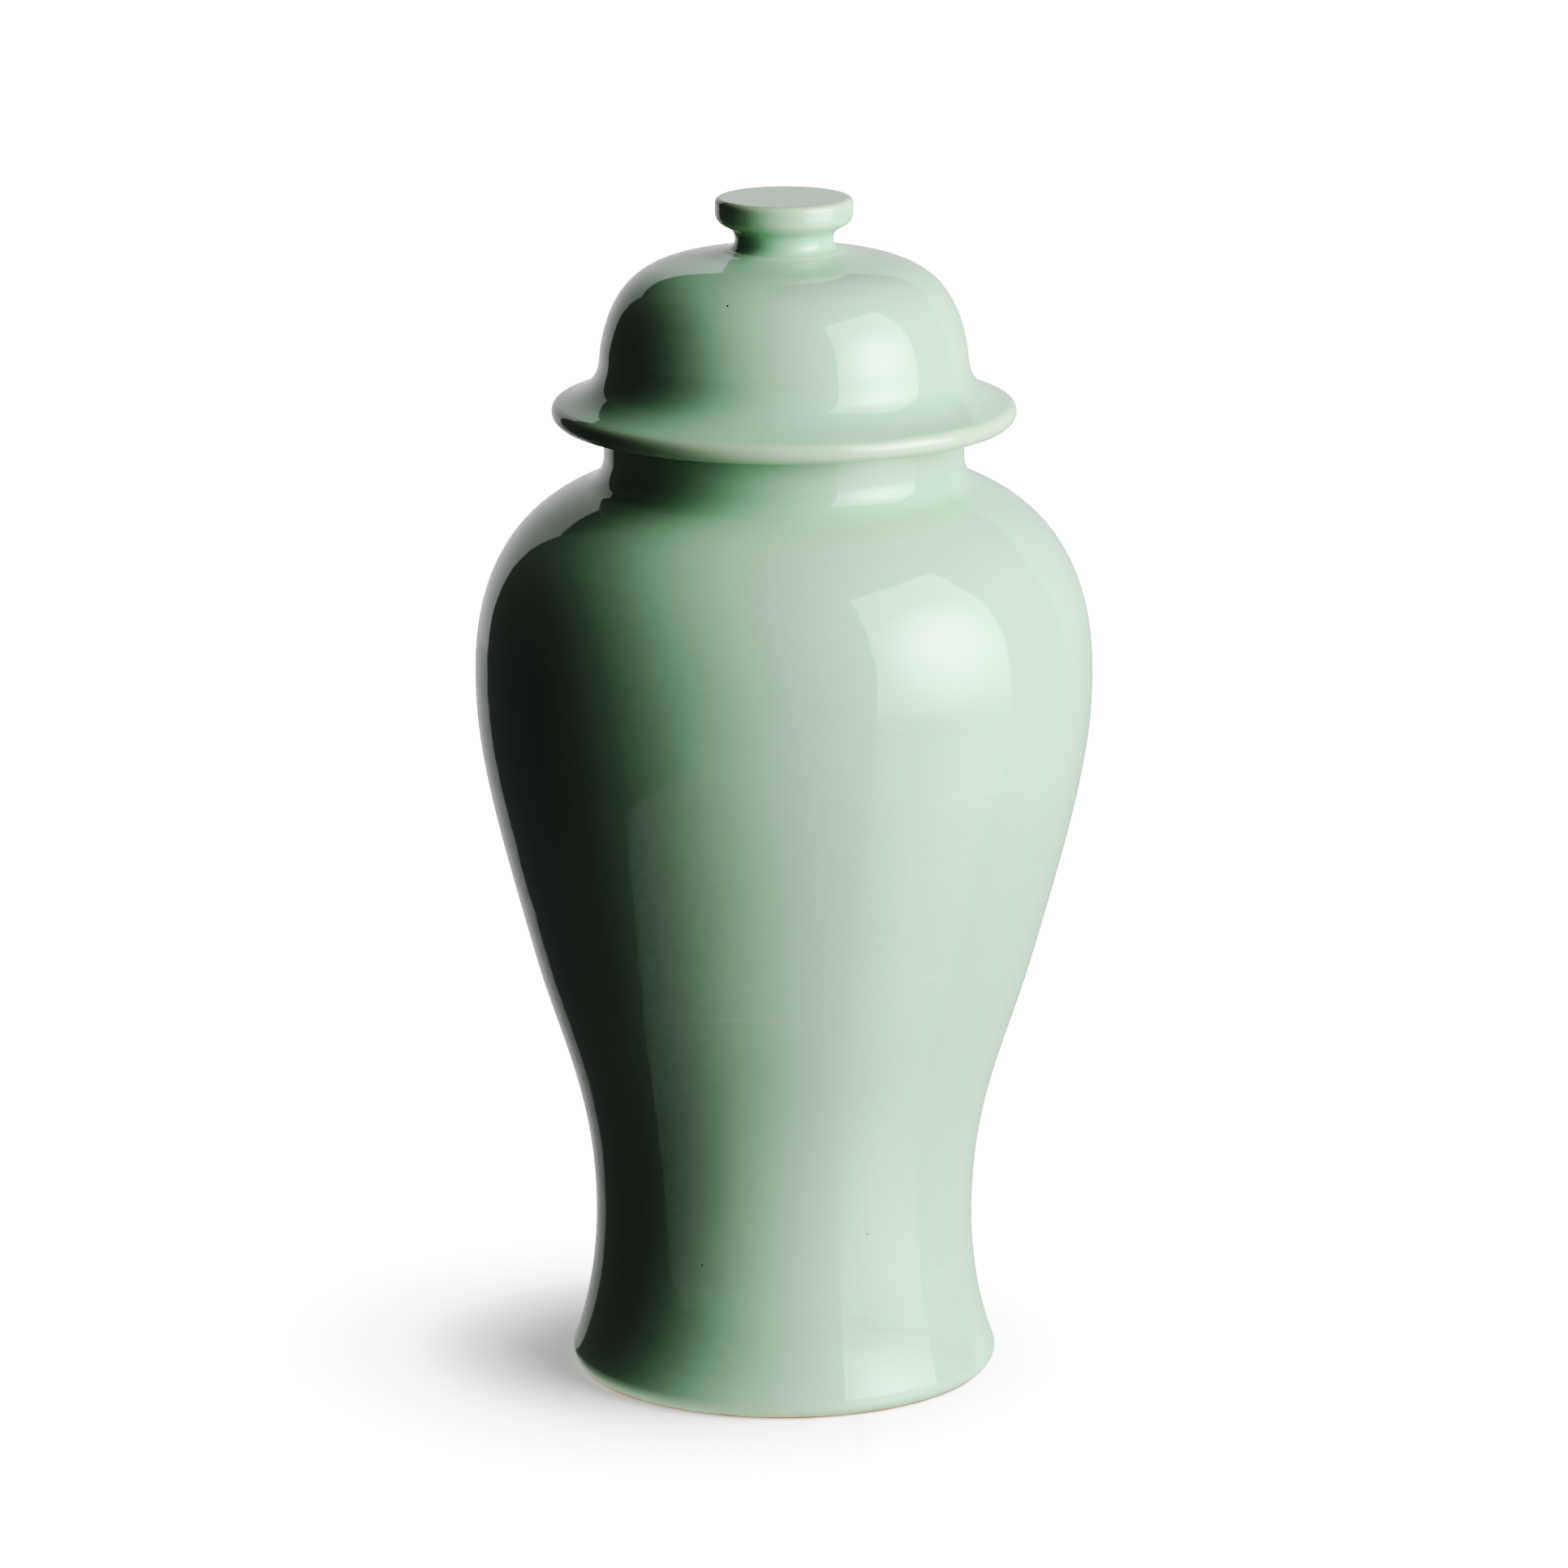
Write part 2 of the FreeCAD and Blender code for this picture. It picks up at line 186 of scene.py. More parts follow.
class StudioPlan(bpy.types.PropertyGroup):
    """Camera and lights, seen from the jar: bearings turn from the camera towards the right."""

    camera_distance: length("Camera distance", "Camera to the jar's axis, level", 2973.0)
    camera_height: length("Camera height", "Camera above the standing plane", 954.5)
    camera_tilt: slope("Camera tilt", "How far the camera looks down", 13.706)
    lens: FloatProperty(name="Lens", description="Focal length in millimetres", default=183.54)
    key_bearing: slope("Key bearing", "Softbox, to the right of the camera", 61.0)
    key_distance: length("Key distance", "Softbox to the jar", 1300.0)
    key_width: length("Key width", "Softbox width", 1380.0)
    key_bottom: length("Key bottom", "Softbox's lower edge above the table", 10.0)
    key_top: length("Key top", "Softbox's upper edge above the table", 2080.0)
    key_fade: length("Key fade", "Depth of the dimmer band along its lower edge", 300.0)
    key_lamp: length("Key lamp", "Height of its lamp, where it is brightest", 700.0)
    key_centre_size: length("Key centre size", "How far the lamp's bright patch reaches", 800.0)
    key_glow: glow("Key glow", "Brightness of the softbox", 2.7)
    key_centre_glow: glow("Key centre", "Extra brightness at its lamp", 5.0)
    backdrop_spot: spot("Backdrop", "Middle of the pale wall behind", 250.0, 1500.0, 550.0)
    backdrop_width: length("Backdrop width", "Its width", 3600.0)
    backdrop_height: length("Backdrop height", "Its height", 1500.0)
    backdrop_glow: glow("Backdrop glow", "Brightness of the wall behind", 0.46)
    card_spot: spot("Black card", "Middle of the card at the left", -450.0, -95.0, 700.0)
    card_width: length("Card width", "Black card, front to back", 1090.0)
    card_height: length("Card height", "Black card, bottom to top", 1400.0)
    # The black cloth is a painted shadow: a dark sheet where the jar's shadow falls on the table,
    # seen only as the glaze mirrors it.
    shadow_cloth_spot: spot("Black cloth", "Middle of the cloth on the table", -634.0, 56.0, 1.0)
    shadow_cloth_width: length("Cloth width", "Across the cloth", 800.0)
    shadow_cloth_length: length("Cloth length", "Along the cloth", 750.0)
    shadow_cloth_turn: slope("Cloth turn", "How far the cloth is turned on the table", 38.0)
    # The dim glow of the card and cloth is painted light, seen only as the glaze mirrors them.
    painted_dark_glow: glow("Card glow", "Black card and cloth as mirrored", 0.08)
    bounce_spot: spot("White card", "Middle of the card lying before the jar", 240.0, -220.0, 2.0)
    bounce_width: length("White card width", "Left to right", 420.0)
    bounce_length: length("White card length", "Front to back", 360.0)
    bounce_glow: glow("White card glow", "Light from the white card", 0.5)
    foot_light_spot: spot("Foot light", "Middle of the lit table at the foot", 12.0, 0.0, 0.5)
    foot_light_radius: length("Foot light radius", "Lit table close round the foot", 100.0)
    foot_light_glow: glow("Foot light glow", "Light from the table round the foot", 0.6)
    table_size: length("Table size", "Side of the square table", 24000.0)
    # The table's sheen is painted light: a glow the table shows only as the glaze mirrors it.
    painted_table_sheen: glow("Table sheen", "Table as mirrored", 0.09)
    # The table's glow as the camera sees it dims round a point left of the jar: a painted shadow of
    # the jar, added to the shadow it really casts.
    painted_shadow_glow: glow("Table glow", "Table's own light in the jar's shadow", 0.14)
    painted_shadow_aside: length("Shade aside", "Middle of the jar's shadow, left of its axis", 30.0)
    painted_shadow_start: length("Shade start", "Where the shadow begins to clear", 45.0)
    painted_shadow_end: length("Shade end", "Where the table is quite white", 210.0)
    room_glow: glow("Room glow", "Light from the room", 0.018)


# ---- Outlines -----------------------------------------------------------------------------
# An outline is a list of curve spans in the XZ plane, each with a start, two pulls and an end.
# It keeps the clay on its left: outwards along the bottom, up the outside, then inwards.


def at(radius, height):
    """A place on the outline."""
    return Vector((radius, 0.0, height))


def direction(lean):
    """Along a wall that leans outwards from upright by this angle."""
    return Vector((math.sin(lean), 0.0, math.cos(lean)))


def inset(place, lean, wall):
    """The matching place on the inner side of a wall."""
    return place + Vector((-math.cos(lean), 0.0, math.sin(lean))) * wall


def sweep(low, low_lean, high, high_lean, pulls):
    """A smooth span between two places. Each pull is a share of their distance."""
    reach = (high - low).length
    return (
        low,
        low + direction(low_lean) * reach * pulls[0],
        high - direction(high_lean) * reach * pulls[1],
        high,
    )


def straights(*places):
    """Straight spans through the places."""
    return [
        (start, start.lerp(end, 1 / 3), start.lerp(end, 2 / 3), end)
        for start, end in zip(places, places[1:])
    ]


def rounding(centre, radius, start_degrees, end_degrees):
    """A round span. Its angle runs from outwards, through upwards."""
    start = math.radians(start_degrees)
    end = math.radians(end_degrees)
    pull = 4 / 3 * math.tan((end - start) / 4) * radius

    def out(angle):
        return Vector((math.cos(angle), 0.0, math.sin(angle)))

    def along(angle):
        return Vector((-math.sin(angle), 0.0, math.cos(angle)))

    first = centre + out(start) * radius
    last = centre + out(end) * radius
    return (first, first + along(start) * pull, last - along(end) * pull, last)


def backwards(spans):
    """The same outline walked the other way."""
    return [tuple(reversed(span)) for span in reversed(spans)]


def halves(span, place):
    """A span cut in two at a share of its run."""
    rows = [list(span)]
    while len(rows[-1]) > 1:
        rows.append([a.lerp(b, place) for a, b in zip(rows[-1], rows[-1][1:])])
    first = tuple(row[0] for row in rows)
    second = tuple(row[-1] for row in reversed(rows))
    return first, second


def above(span, height):
    """The part of a rising span that lies above a height."""
    low, high = 0.0, 1.0
    for _ in range(40):
        middle = (low + high) / 2
        _, split = halves(span, middle)
        if split[0].z < height:
            low = middle
        else:
            high = middle
    return halves(span, high)[1]


def jar_side(sizes, wall):
    """The jar's side from the foot's flare to the top of the neck, a wall's thickness in."""
    mouth = JAR_HIGH.z
    belly_radius = JAR_HIGH.x
    root_z = mouth - sizes.neck_height
    belly_z = root_z - sizes.shoulder_rise
    spread = belly_radius - sizes.waist_radius
    rise = belly_z - sizes.waist_height

    turn = sizes.foot_flare
    flare = at(
        sizes.foot_radius - sizes.foot_round * (1 - math.cos(turn)),
        sizes.foot_round * (1 + math.sin(turn)),
    )
    waist = at(sizes.waist_radius, sizes.waist_height)
    flank = at(
        sizes.waist_radius + sizes.flank_spread * spread,
        sizes.waist_height + sizes.flank_rise * rise,
    )
    belly = at(belly_radius, belly_z)
    tangent = sizes.neck_root * math.tan(sizes.shoulder_lean / 2)
    shoulder = at(sizes.neck_radius, root_z) - direction(-sizes.shoulder_lean) * tangent
    root_centre = at(sizes.neck_radius + sizes.neck_root, root_z + tangent)
    neck_radius = sizes.neck_radius - wall

    flare = inset(flare, -turn, wall)
    waist = inset(waist, 0.0, wall)
    flank = inset(flank, sizes.flank_lean, wall)
    belly = inset(belly, 0.0, wall)
    shoulder = inset(shoulder, -sizes.shoulder_lean, wall)
    lean_degrees = math.degrees(sizes.shoulder_lean)
    return [
        sweep(flare, -turn, waist, 0.0, (0.28, 0.37)),
        sweep(waist, 0.0, flank, sizes.flank_lean, (0.435, 0.305)),
        sweep(flank, sizes.flank_lean, belly, 0.0, (0.565, 0.245)),
        sweep(belly, 0.0, shoulder, -sizes.shoulder_lean, (0.465, 0.34)),
        rounding(root_centre, sizes.neck_root + wall, 180 + lean_degrees, 180),
        *straights(at(neck_radius, root_centre.z), at(neck_radius, mouth - sizes.mouth_round)),
    ]


def jar_body_outline(sizes):
    """Round the whole section of the jar's wall, foot, outside, mouth and inside."""
    mouth = JAR_HIGH.z
    mouth_round = sizes.mouth_round
    foot_centre = at(sizes.foot_radius - sizes.foot_round, sizes.foot_round)
    bore = FLOOR_HIGH.x
    bore_centre = at(bore + sizes.bore_round, sizes.bore_round)
    outer_mouth = at(sizes.neck_radius - mouth_round, mouth - mouth_round)
    inner_mouth = at(sizes.neck_radius - sizes.wall + mouth_round, mouth - mouth_round)
    inner_side = jar_side(sizes, sizes.wall)
    inner_side[0] = above(inner_side[0], FLOOR_HIGH.z)
    foot_of_inside = inner_side[0][0]
    return [
        *straights(at(bore_centre.x, 0.0), at(foot_centre.x, 0.0)),
        rounding(foot_centre, sizes.foot_round, -90, math.degrees(sizes.foot_flare)),
        *jar_side(sizes, 0.0),
        rounding(outer_mouth, mouth_round, 0, 90),
        *straights(at(outer_mouth.x, mouth), at(inner_mouth.x, mouth)),
        rounding(inner_mouth, mouth_round, 90, 180),
        *backwards(inner_side),
        *straights(foot_of_inside, at(bore, FLOOR_HIGH.z), at(bore, bore_centre.z)),
        rounding(bore_centre, sizes.bore_round, 180, 270),
    ]


def jar_floor_outline():
    """The floor disc, with the shallow dish and the ring a turning tool leaves under it."""
    radius = FLOOR_HIGH.x
    low = FLOOR_LOW.z
    high = FLOOR_HIGH.z
    dish = 1.2 * MM
    ring_radius = radius * 0.55
    ring_width = 1.5 * MM
    edge_round = 1.0 * MM
    return [
        *straights(
            at(0.0, low + dish),
            at(ring_radius - ring_width, low + dish),
            at(ring_radius, low + dish / 2),
            at(radius - edge_round * 3, low + dish / 4),
            at(radius, low),
            at(radius, high - edge_round),
        ),
        rounding(at(radius - edge_round, high - edge_round), edge_round, 0, 90),
        *straights(at(radius - edge_round, high), at(0.0, high)),
    ]


def lid_dome_outline(sizes):
    """From the hollow's ceiling down inside, under the brim, round its rim and over the dome."""
    seat = LID_LOW.z
    crown_z = LID_HIGH.z
    throat_radius = RING_HIGH.x - sizes.ring_wall
    rim_centre = at(LID_HIGH.x - sizes.rim_round, seat + sizes.rim_round)
    rim_end_degrees = 90 - math.degrees(sizes.brim_slope)
    rim = rounding(rim_centre, sizes.rim_round, -90, rim_end_degrees)
    brim_lean = sizes.brim_slope - math.pi / 2
    crown_lean = sizes.crown_slope - math.pi / 2
    wall = at(sizes.dome_radius, seat + sizes.dome_wall_height)
    crown = at(sizes.knob_base, crown_z)
    inner_wall = inset(wall, -sizes.dome_lean, sizes.wall)
    ceiling = inset(crown, crown_lean, sizes.wall)
    throat = at(throat_radius, seat + sizes.throat_height)
    inside = [
        sweep(throat, sizes.throat_lean, inner_wall, -sizes.dome_lean, (0.40, 0.40)),
        sweep(inner_wall, -sizes.dome_lean, ceiling, crown_lean, (0.60, 0.30)),
    ]
    return [
        *straights(at(0.0, ceiling.z), ceiling),
        *backwards(inside),
        *straights(throat, at(throat_radius, seat), at(rim_centre.x, seat)),
        rim,
        sweep(rim[3], brim_lean, wall, -sizes.dome_lean, (0.68, 0.29)),
        sweep(wall, -sizes.dome_lean, crown, crown_lean, (0.60, 0.30)),
        *straights(crown, at(0.0, crown_z)),
    ]


def lid_ring_outline(sizes):
    """Round the whole section of the locating ring."""
    low = RING_LOW.z
    high = RING_HIGH.z
    outer = RING_HIGH.x
    inner = outer - sizes.ring_wall
    edge = sizes.ring_round
    return [
        *straights(at(inner + edge, low), at(outer - edge, low)),
        rounding(at(outer - edge, low + edge), edge, -90, 0),
        *straights(at(outer, low + edge), at(outer, high), at(inner, high), at(inner, low + edge)),
        rounding(at(inner + edge, low + edge), edge, 180, 270),
    ]


def lid_knob_outline(sizes):
    """The knob, from its foot on the crown up to the middle of its flat top."""
    crown_z = KNOB_LOW.z
    top = KNOB_HIGH.z
    button_radius = KNOB_HIGH.x
    neck_z = crown_z + sizes.knob_neck_rise
    widest_z = top - sizes.knob_widest_drop
    base = at(sizes.knob_base, crown_z)
    neck = at(sizes.knob_neck, neck_z)
    underside = at(
        sizes.knob_neck + sizes.underside_spread * (button_radius - sizes.knob_neck),
        neck_z + sizes.underside_rise * (widest_z - neck_z),
    )
    widest = at(button_radius, widest_z)
    edge_centre = at(button_radius - sizes.knob_round, top - sizes.knob_round)
    crown_lean = sizes.crown_slope - math.pi / 2
    return [
        *straights(at(0.0, crown_z), base),
        sweep(base, crown_lean, neck, 0.0, (0.40, 0.40)),
        sweep(neck, 0.0, underside, sizes.underside_lean, (0.25, 0.55)),
        sweep(underside, sizes.underside_lean, widest, 0.0, (0.41, 0.47)),
        *straights(widest, at(button_radius, edge_centre.z)),
        rounding(edge_centre, sizes.knob_round, 0, 90),
        *straights(at(edge_centre.x, top), at(0.0, top)),
    ]


# ---- Turning ------------------------------------------------------------------------------


def only(thing):
    """Select one object and nothing else."""
    bpy.ops.object.select_all(action="DESELECT")
    thing.select_set(True)
    bpy.context.view_layer.objects.active = thing


def draw_outline(name, spans, closed):
    """A curve object drawn through the spans, made into a chain of edges."""
    bpy.ops.object.select_all(action="DESELECT")
    bpy.ops.curve.primitive_bezier_curve_add(radius=1.0, location=(0.0, 0.0, 0.0))
    outline = bpy.context.object
    outline.name = name
    outline.data.resolution_u = bpy.context.scene.turning_plan.spans
    spline = outline.data.splines[0]
    knot_count = len(spans) if closed else len(spans) + 1
    spline.bezier_points.add(knot_count - len(spline.bezier_points))
    for knot in spline.bezier_points:
        knot.handle_left_type = "FREE"
        knot.handle_right_type = "FREE"
    spline.use_cyclic_u = closed
    for index, (start, start_pull, end_pull, end) in enumerate(spans):
        knot = spline.bezier_points[index]
        following = spline.bezier_points[(index + 1) % knot_count]
        knot.co = start
        knot.handle_right = start_pull
        following.co = end
        following.handle_left = end_pull
    if not closed:
        spline.bezier_points[0].handle_left = spans[0][0]
        spline.bezier_points[-1].handle_right = spans[-1][3]
    only(outline)
    bpy.ops.object.convert(target="MESH")
    return bpy.context.object


def measure_outline(outline, closed, is_bare):
    """Store, for each point, how sharply the outline turns and how far off the glaze line is.

    Roundness is per metre, above zero on an edge and below zero in a hollow. The glaze line's
    distance is in metres, above zero where there is glaze and below zero on bare clay.
    """
    places = [vertex.co.copy() for vertex in outline.data.vertices]
    count = len(places)
    run = [0.0]
    for here, there in zip(places, places[1:]):
        run.append(run[-1] + (there - here).length)
    whole = run[-1] + (places[0] - places[-1]).length if closed else run[-1]

    def apart(a, b):
        gap = abs(run[a] - run[b])
        return min(gap, whole - gap) if closed else gap

    turns = [0.0] * count
    for index in range(count):
        if not closed and index in (0, count - 1):
            continue
        before = places[index] - places[index - 1]
        after = places[(index + 1) % count] - places[index]
        if before.length < MERGE_DISTANCE or after.length < MERGE_DISTANCE:
            continue
        cross = before.x * after.z - before.z * after.x
        turns[index] = math.atan2(cross, before.dot(after))

    bare = [is_bare(place) for place in places]
    borders = [index for index in range(1, count) if bare[index] != bare[index - 1]]
    roundness = outline.data.attributes.new("glaze_roundness", "FLOAT", "POINT")
    glaze_edge = outline.data.attributes.new("glaze_edge", "FLOAT", "POINT")
    for index in range(count):
        near = [other for other in range(count) if apart(index, other) < MEASURE_REACH]
        total = sum(turns[other] * (1 - apart(index, other) / MEASURE_REACH) for other in near)
        roundness.data[index].value = total / MEASURE_REACH
        distance = min((apart(index, border) for border in borders), default=NO_GLAZE_LINE)
        glaze_edge.data[index].value = -distance if bare[index] else distance


def turn_outline(outline):
    """Spin the chain of edges all the way round and close its seam and its poles."""
    only(outline)
    bpy.ops.object.mode_set(mode="EDIT")
    bpy.ops.mesh.select_all(action="SELECT")
    bpy.ops.mesh.spin(
        steps=bpy.context.scene.turning_plan.steps,
        angle=FULL_TURN,
        center=(0.0, 0.0, 0.0),
        axis=(0.0, 0.0, 1.0),
    )
    bpy.ops.mesh.select_all(action="SELECT")
    bpy.ops.mesh.remove_doubles(threshold=MERGE_DISTANCE * 10)
    bpy.ops.mesh.select_all(action="SELECT")
    bpy.ops.mesh.normals_make_consistent(inside=False)
    bpy.ops.object.mode_set(mode="OBJECT")
    bpy.ops.object.shade_smooth_by_angle(angle=SMOOTH_ANGLE)


def sway_by_hand(piece, is_fitted):
    """Let the free walls wander a little from true, always inwards, and keep the fits true."""
    plan = bpy.context.scene.turning_plan
    free = piece.vertex_groups.new(name="free_walls")
    for vertex in piece.data.vertices:
        free.add([vertex.index], 0.0 if is_fitted(vertex.co) else 1.0, "REPLACE")
    wander = bpy.data.textures.new(piece.name + "_wander", "CLOUDS")
    wander.noise_scale = plan.sway_size
    wander.noise_depth = 1
    displace = piece.modifiers.new("hand_sway", "DISPLACE")
    displace.texture = wander
    displace.texture_coords = "GLOBAL"
    displace.strength = plan.sway
    displace.mid_level = 1.0
    displace.vertex_group = free.name
    only(piece)
    bpy.ops.object.modifier_apply(modifier=displace.name)


def turn_piece(name, spans, closed, is_bare, is_fitted):
    """A finished turned piece: outline, glaze measures, spin and hand sway."""
    outline = draw_outline(name, spans, closed)
    measure_outline(outline, closed, is_bare)
    turn_outline(outline)
    sway_by_hand(outline, is_fitted)
    return outline


def give(piece, material, body, slot, *nodes):
    """Dress a piece, let it ride on its body and let it stand for its nodes."""
    piece.data.materials.clear()
    piece.data.materials.append(material)
    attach(piece, body)
    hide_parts(*nodes)


# ---- Materials ----------------------------------------------------------------------------


def new_group(name, inputs, outputs):
    """A shader node group with named value inputs and outputs."""
    group = bpy.data.node_groups.new(name, "ShaderNodeTree")
    for socket_name, kind, default in inputs:
        socket = group.interface.new_socket(socket_name, in_out="INPUT", socket_type=kind)
        socket.default_value = default
    for socket_name, kind in outputs:
        group.interface.new_socket(socket_name, in_out="OUTPUT", socket_type=kind)
    return group, group.nodes.new("NodeGroupInput"), group.nodes.new("NodeGroupOutput")


def calc(tree, operation, first, second=None, third=None):
    """A math node. Each term is a number or a socket."""
    node = tree.nodes.new("ShaderNodeMath")
    node.operation = operation
    for socket, term in zip(node.inputs, (first, second, third)):
        if isinstance(term, bpy.types.NodeSocket):
            tree.links.new(term, socket)
        elif term is not None:
            socket.default_value = term
    return node.outputs[0]


def ramp(tree, value, low, high):
    """0 below low, 1 above high, and smooth between."""
    node = tree.nodes.new("ShaderNodeMapRange")
    node.interpolation_type = "SMOOTHSTEP"
    tree.links.new(value, node.inputs["Value"])
    node.inputs["From Min"].default_value = low
    node.inputs["From Max"].default_value = high
    return node.outputs["Result"]


def blend(tree, factor, first, second, mode="MIX"):
    """A colour mix. Each colour is a tuple or a socket."""
    node = tree.nodes.new("ShaderNodeMix")
    node.data_type = "RGBA"
    node.blend_type = mode
    sockets = (node.inputs["Factor"], node.inputs[6], node.inputs[7])
    for socket, term in zip(sockets, (factor, first, second)):
        if isinstance(term, bpy.types.NodeSocket):
            tree.links.new(term, socket)
        elif isinstance(term, float):
            socket.default_value = term
        else:
            socket.default_value = (*term, 1.0)
    return node.outputs[2]


def noise(tree, vector, scale, detail, roughness=0.5):
    """A noise value, with so many lumps to the metre."""
    node = tree.nodes.new("ShaderNodeTexNoise")
    tree.links.new(vector, node.inputs["Vector"])
    node.inputs["Scale"].default_value = scale
    node.inputs["Detail"].default_value = detail
    node.inputs["Roughness"].default_value = roughness
    return node.outputs["Fac"]


def stretched(tree, vector, scale):
    """A place drawn out or squeezed along each axis."""
    node = tree.nodes.new("ShaderNodeVectorMath")
    node.operation = "MULTIPLY"
    tree.links.new(vector, node.inputs[0])
    node.inputs[1].default_value = scale
    return node.outputs["Vector"]


def place_of(tree):
    """The place on the object, in metres."""
    return tree.nodes.new("ShaderNodeTexCoord").outputs["Object"]


def specks_group():
    """Sparse round specks: one in some of the cells of a random pattern."""
    group, given, result = new_group(
        "kiln_specks",
        [
            ("Place", "NodeSocketVector", (0.0, 0.0, 0.0)),
            ("Cells per metre", "NodeSocketFloat", 90.0),
            ("Share", "NodeSocketFloat", 0.05),
            ("Size", "NodeSocketFloat", 0.05),
        ],
        [("Mask", "NodeSocketFloat")],
    )
    cells = group.nodes.new("ShaderNodeTexVoronoi")
    group.links.new(given.outputs["Place"], cells.inputs["Vector"])
    group.links.new(given.outputs["Cells per metre"], cells.inputs["Scale"])
    chance = group.nodes.new("ShaderNodeSeparateColor")
    group.links.new(cells.outputs["Color"], chance.inputs["Color"])
    chosen = calc(group, "LESS_THAN", chance.outputs["Red"], given.outputs["Share"])
    size = calc(group, "MULTIPLY", given.outputs["Size"], chance.outputs["Green"])
    inside = calc(group, "LESS_THAN", cells.outputs["Distance"], size)
    group.links.new(calc(group, "MULTIPLY", chosen, inside), result.inputs["Mask"])
    return group


def clay_group():
    """Fired clay: fine sand, soft clouds of colour, and a height for its grain."""
    group, given, result = new_group(
        "fired_clay",
        [
            ("Place", "NodeSocketVector", (0.0, 0.0, 0.0)),
            ("Clay", "NodeSocketColor", (0.5, 0.4, 0.3, 1.0)),
            ("Toasted", "NodeSocketColor", (0.3, 0.2, 0.1, 1.0)),
            ("Toast", "NodeSocketFloat", 0.5),
        ],
        [("Color", "NodeSocketColor"), ("Height", "NodeSocketFloat")],
    )
    place = given.outputs["Place"]
    clouds = noise(group, place, 45.0, 3.0)
    sand = noise(group, place, 1400.0, 2.0, 0.7)
    toast = calc(group, "MULTIPLY", given.outputs["Toast"], ramp(group, clouds, 0.3, 0.7))
    body = blend(group, toast, given.outputs["Clay"], given.outputs["Toasted"])
    grains = ramp(group, sand, 0.35, 0.75)
    shade = calc(group, "MULTIPLY_ADD", grains, 0.22, 0.86)
    body = blend(group, 1.0, body, shade, "MULTIPLY")
    group.links.new(body, result.inputs["Color"])
    group.links.new(sand, result.inputs["Height"])
    return group


def glaze_depth_group():
    """How the glaze draws back from edges and gathers in hollows, from the piece's measures."""
    group, given, result = new_group(
        "glaze_depth",
        [("Place", "NodeSocketVector", (0.0, 0.0, 0.0)), ("Roundness", "NodeSocketFloat", 0.0)],
        [
            ("Thin", "NodeSocketFloat"),
            ("Pooled", "NodeSocketFloat"),
            ("Mottle", "NodeSocketFloat"),
            ("Wisps", "NodeSocketFloat"),
        ],
    )
    place = given.outputs["Place"]
    runny = noise(group, place, 70.0, 2.0)
    ragged = calc(group, "MULTIPLY_ADD", runny, 60.0, -30.0)
    drawn = calc(group, "ADD", given.outputs["Roundness"], ragged)
    thin = ramp(group, drawn, 60.0, 260.0)
    hollow = calc(group, "MULTIPLY", given.outputs["Roundness"], -1.0)
    pooled = ramp(group, hollow, 15.0, 130.0)
    clouds = noise(group, place, 9.0, 3.0)
    fine = noise(group, place, 260.0, 2.0)
    mottle = calc(group, "MULTIPLY_ADD", fine, 0.35, calc(group, "MULTIPLY", clouds, 0.65))
    rings = noise(group, stretched(group, place, (1.0, 1.0, 26.0)), 7.0, 1.0)
    streaks = ramp(group, rings, 0.66, 0.74)
    where = ramp(group, noise(group, place, 14.0, 0.0), 0.52, 0.62)
    wisps = calc(group, "MULTIPLY", streaks, where)
    found = {"Thin": thin, "Pooled": pooled, "Mottle": mottle, "Wisps": wisps}
    for name, socket in found.items():
        group.links.new(socket, result.inputs[name])
    return group


def put_group(tree, group, **values):
    """Place a group in a material with its own values."""
    node = tree.nodes.new("ShaderNodeGroup")
    node.node_tree = group
    for name, value in values.items():
        socket = node.inputs[name.replace("_", " ")]
        if isinstance(value, bpy.types.NodeSocket):
            tree.links.new(value, socket)
        else:
            socket.default_value = value
    return node


def group_named(name, build):
    """A node group that is built once and shared."""
    return bpy.data.node_groups.get(name) or build()


def glaze_skin(tree, place):
    """Height of the glassy surface: a slow swell and a very fine ripple on it."""
    swell = noise(tree, stretched(tree, place, (0.6, 0.6, 2.0)), 30.0, 1.0)
    return calc(tree, "MULTIPLY_ADD", noise(tree, place, 420.0, 1.0), 0.035, swell)


def bumped(tree, height, distance):
    """A normal that follows a height."""
    bump = tree.nodes.new("ShaderNodeBump")
    bump.inputs["Distance"].default_value = distance
    tree.links.new(height, bump.inputs["Height"])
    return bump.outputs["Normal"]


def new_material(name):
    """A material, its nodes and its main shader."""
    material = bpy.data.materials.new(name)
    material.use_nodes = True
    return material, material.node_tree, material.node_tree.nodes["Principled BSDF"]


